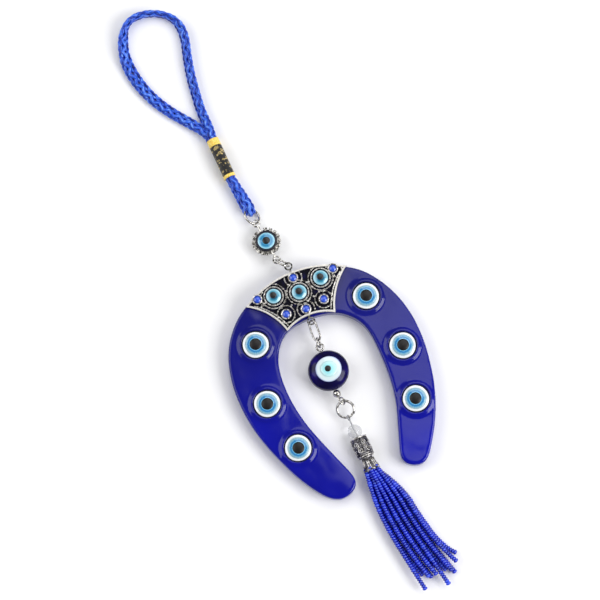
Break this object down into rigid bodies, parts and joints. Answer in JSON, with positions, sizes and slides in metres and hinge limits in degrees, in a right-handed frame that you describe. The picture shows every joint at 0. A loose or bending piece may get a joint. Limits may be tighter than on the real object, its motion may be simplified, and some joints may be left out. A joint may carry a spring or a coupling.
{
  "type": "evil eye ornament",
  "caption": "Hanging ornament: glass horseshoe with eye cabochons, filigree crown plate, braided cord loop above, eye bead and seed-bead tassel inside.",
  "frame": {"origin": "on the flat back of the glass, under the middle eye of the crown plate", "axes": "+Z out of the face, +Y from the toes of the horseshoe towards the cord loop, +X across the legs"},
  "size_m": [0.0746, 0.2527, 0.0102],
  "materials": {
    "horseshoe_glass": "polished cast cobalt glass",
    "eye_white": "glossy",
    "bead_white": "polished lampwork glass",
    "eye_blue": "glossy",
    "small_eye": "glossy",
    "eye_black": "glossy",
    "navy_enamel": "glossy enamel fill",
    "blue_stone": "foiled glass stone",
    "bead_glass": "polished lampwork glass",
    "bead_cyan": "polished lampwork glass",
    "blue_cord": "braided polyester",
    "black_brocade": "woven with gold flecks",
    "yellow_thread": "wound thread",
    "grey_thread": "twisted thread",
    "clear_glass": "clear",
    "seed_beads": "glossy glass seed beads",
    "resin_plug": "matt",
    "bright_silver": "plated",
    "antique_silver": "antiqued silver plate"
  },
  "bodies": {
    "horseshoe": {"glass_horseshoe": "horseshoe_glass", "horseshoe_eye_left_lower": "eye_white", "horseshoe_eye_left_middle": "eye_white", "horseshoe_eye_left_upper": "eye_white", "horseshoe_eye_right_lower": "eye_white", "horseshoe_eye_right_middle": "eye_white", "horseshoe_eye_right_upper": "eye_white", "horseshoe_irises": "eye_blue", "horseshoe_pupils": "eye_black", "crown_enamel": "navy_enamel", "crown_eye_centre": "small_eye", "crown_eye_left": "small_eye", "crown_eye_right": "small_eye", "crown_granules": "antique_silver", "crown_plate": "antique_silver", "crown_pupils": "eye_black", "crown_rope_borders": "antique_silver", "crown_scrolls": "antique_silver", "crown_stones": "blue_stone"},
    "link_ring": {"link_ring": "bright_silver"},
    "connector": {"connector_beads": "antique_silver", "connector_enamel": "navy_enamel", "connector_eye": "small_eye", "connector_frame": "antique_silver", "connector_pupil": "eye_black"},
    "cord_ring": {"cord_ring": "bright_silver"},
    "hanging_loop": {"hanging_cord": "blue_cord", "sleeve_tube": "black_brocade", "sleeve_brocade": "black_brocade", "sleeve_band_upper": "yellow_thread", "sleeve_band_lower": "yellow_thread"},
    "drop_link_upper": {"drop_link_upper": "bright_silver"},
    "drop_link_lower": {"drop_link_lower": "bright_silver"},
    "eye_pin": {"eye_pin": "bright_silver", "spacer_ball": "bright_silver"},
    "eye_bead": {"eye_bead_glass": "bead_glass", "eye_bead_white": "bead_white", "eye_bead_iris": "bead_cyan", "eye_bead_pupil": "eye_black"},
    "split_ring": {"split_ring": "bright_silver"},
    "tassel_head": {"tassel_thread": "grey_thread", "tassel_barrel": "antique_silver", "tassel_bell": "antique_silver", "tassel_plug": "resin_plug"},
    "clear_bead": {"clear_bead": "clear_glass"},
    "strand_01": {"strand_01": "seed_beads"},
    "strand_02": {"strand_02": "seed_beads"},
    "strand_03": {"strand_03": "seed_beads"},
    "strand_04": {"strand_04": "seed_beads"},
    "strand_05": {"strand_05": "seed_beads"},
    "strand_06": {"strand_06": "seed_beads"},
    "strand_07": {"strand_07": "seed_beads"},
    "strand_08": {"strand_08": "seed_beads"},
    "strand_09": {"strand_09": "seed_beads"},
    "strand_10": {"strand_10": "seed_beads"},
    "strand_11": {"strand_11": "seed_beads"},
    "strand_12": {"strand_12": "seed_beads"}
  },
  "joints": [
    {"name": "link_ring_swing", "type": "hinge", "parent": "horseshoe", "child": "link_ring", "pos_m": [0, 0.0112, 0.0061], "axis": [0, 0, 1], "range_deg": [-12, 12]},
    {"name": "connector_fold", "type": "hinge", "parent": "link_ring", "child": "connector", "pos_m": [-0.0031, 0.0155, 0.0046], "axis": [0.994, 0.1093, 0], "range_deg": [0, 40]},
    {"name": "cord_ring_swing", "type": "hinge", "parent": "connector", "child": "cord_ring", "pos_m": [-0.00495, 0.03228, 0.00259], "axis": [-0.013, 0.1177, 0.993], "range_deg": [-18, 18]},
    {"name": "loop_fold", "type": "hinge", "parent": "cord_ring", "child": "hanging_loop", "pos_m": [-0.00585, 0.03868, 0.00259], "axis": [0.7803, 0.1097, -0.6157], "range_deg": [0, 50]},
    {"name": "drop_swing", "type": "hinge", "parent": "horseshoe", "child": "drop_link_upper", "pos_m": [0.0001, -0.0119, 0.0061], "axis": [0, 0, 1], "range_deg": [-0.8, 3]},
    {"name": "drop_fold", "type": "hinge", "parent": "drop_link_upper", "child": "drop_link_lower", "pos_m": [-0.0002, -0.0193, 0.0055], "axis": [-1, 0, 0], "range_deg": [0, 35]},
    {"name": "pin_swing", "type": "hinge", "parent": "drop_link_lower", "child": "eye_pin", "pos_m": [-0.0005, -0.0224, 0.00485], "axis": [0, 0, 1], "range_deg": [-0.8, 3]},
    {"name": "bead_spin", "type": "hinge", "parent": "eye_pin", "child": "eye_bead", "pos_m": [-0.0009, -0.03206, 0.00485], "axis": [-0.0414, -0.9991, 0], "continuous": true},
    {"name": "split_ring_swing", "type": "hinge", "parent": "eye_pin", "child": "split_ring", "pos_m": [-0.00047, -0.04465, 0.0039], "axis": [0, 0, 1], "range_deg": [-0.8, 5]},
    {"name": "tassel_fold", "type": "hinge", "parent": "split_ring", "child": "tassel_head", "pos_m": [-0.00047, -0.05149, 0.0028], "axis": [-0.9272, 0.0595, -0.3699], "range_deg": [0, 40]},
    {"name": "clear_bead_spin", "type": "hinge", "parent": "tassel_head", "child": "clear_bead", "pos_m": [-0.00028, -0.05718, 0.00291], "axis": [0.0342, -0.9992, 0.0183], "continuous": true},
    {"name": "strand_06_fan", "type": "hinge", "parent": "tassel_head", "child": "strand_06", "pos_m": [0.00625, -0.07599, 0.00393], "axis": [0, 0, 1], "range_deg": [0, 6]},
    {"name": "strand_01_fan", "type": "hinge", "parent": "tassel_head", "child": "strand_01", "pos_m": [-0.00391, -0.07599, 0.00393], "axis": [0, 0, 1], "range_deg": [-6.3, 0]},
    {"name": "strand_02_fan", "type": "hinge", "parent": "tassel_head", "child": "strand_02", "pos_m": [-0.00204, -0.07419, 0.00418], "axis": [0, 0, 1], "range_deg": [-3.78, 0]},
    {"name": "strand_03_fan", "type": "hinge", "parent": "tassel_head", "child": "strand_03", "pos_m": [-0.00006, -0.07419, 0.00418], "axis": [0, 0, 1], "range_deg": [-1.26, 0]},
    {"name": "strand_04_fan", "type": "hinge", "parent": "tassel_head", "child": "strand_04", "pos_m": [0.00192, -0.07419, 0.00418], "axis": [0, 0, 1], "range_deg": [0, 1.26]},
    {"name": "strand_05_fan", "type": "hinge", "parent": "tassel_head", "child": "strand_05", "pos_m": [0.0039, -0.07419, 0.00418], "axis": [0, 0, 1], "range_deg": [0, 3.78]},
    {"name": "strand_07_fan", "type": "hinge", "parent": "tassel_head", "child": "strand_07", "pos_m": [-0.00315, -0.07599, 0.00198], "axis": [0, 0, 1], "range_deg": [-5.36, 0]},
    {"name": "strand_08_fan", "type": "hinge", "parent": "tassel_head", "child": "strand_08", "pos_m": [-0.0013, -0.07419, 0.00223], "axis": [0, 0, 1], "range_deg": [-2.83, 0]},
    {"name": "strand_09_fan", "type": "hinge", "parent": "tassel_head", "child": "strand_09", "pos_m": [0.00068, -0.07419, 0.00223], "axis": [0, 0, 1], "range_deg": [-0.315, 0]},
    {"name": "strand_10_fan", "type": "hinge", "parent": "tassel_head", "child": "strand_10", "pos_m": [0.00266, -0.07419, 0.00223], "axis": [0, 0, 1], "range_deg": [0, 2.21]},
    {"name": "strand_11_fan", "type": "hinge", "parent": "tassel_head", "child": "strand_11", "pos_m": [0.00498, -0.07599, 0.00198], "axis": [0, 0, 1], "range_deg": [0, 4.72]},
    {"name": "strand_12_fan", "type": "hinge", "parent": "tassel_head", "child": "strand_12", "pos_m": [0.00701, -0.07599, 0.00198], "axis": [0, 0, 1], "range_deg": [0, 7.25]}
  ],
  "couplings": [
    {"joint": "strand_01_fan", "follows": "strand_06_fan", "ratio": -1},
    {"joint": "strand_02_fan", "follows": "strand_06_fan", "ratio": -0.6},
    {"joint": "strand_03_fan", "follows": "strand_06_fan", "ratio": -0.2},
    {"joint": "strand_04_fan", "follows": "strand_06_fan", "ratio": 0.2},
    {"joint": "strand_05_fan", "follows": "strand_06_fan", "ratio": 0.6},
    {"joint": "strand_07_fan", "follows": "strand_06_fan", "ratio": -0.85},
    {"joint": "strand_08_fan", "follows": "strand_06_fan", "ratio": -0.45},
    {"joint": "strand_09_fan", "follows": "strand_06_fan", "ratio": -0.05},
    {"joint": "strand_10_fan", "follows": "strand_06_fan", "ratio": 0.35},
    {"joint": "strand_11_fan", "follows": "strand_06_fan", "ratio": 0.75},
    {"joint": "strand_12_fan", "follows": "strand_06_fan", "ratio": 1.15}
  ]
}
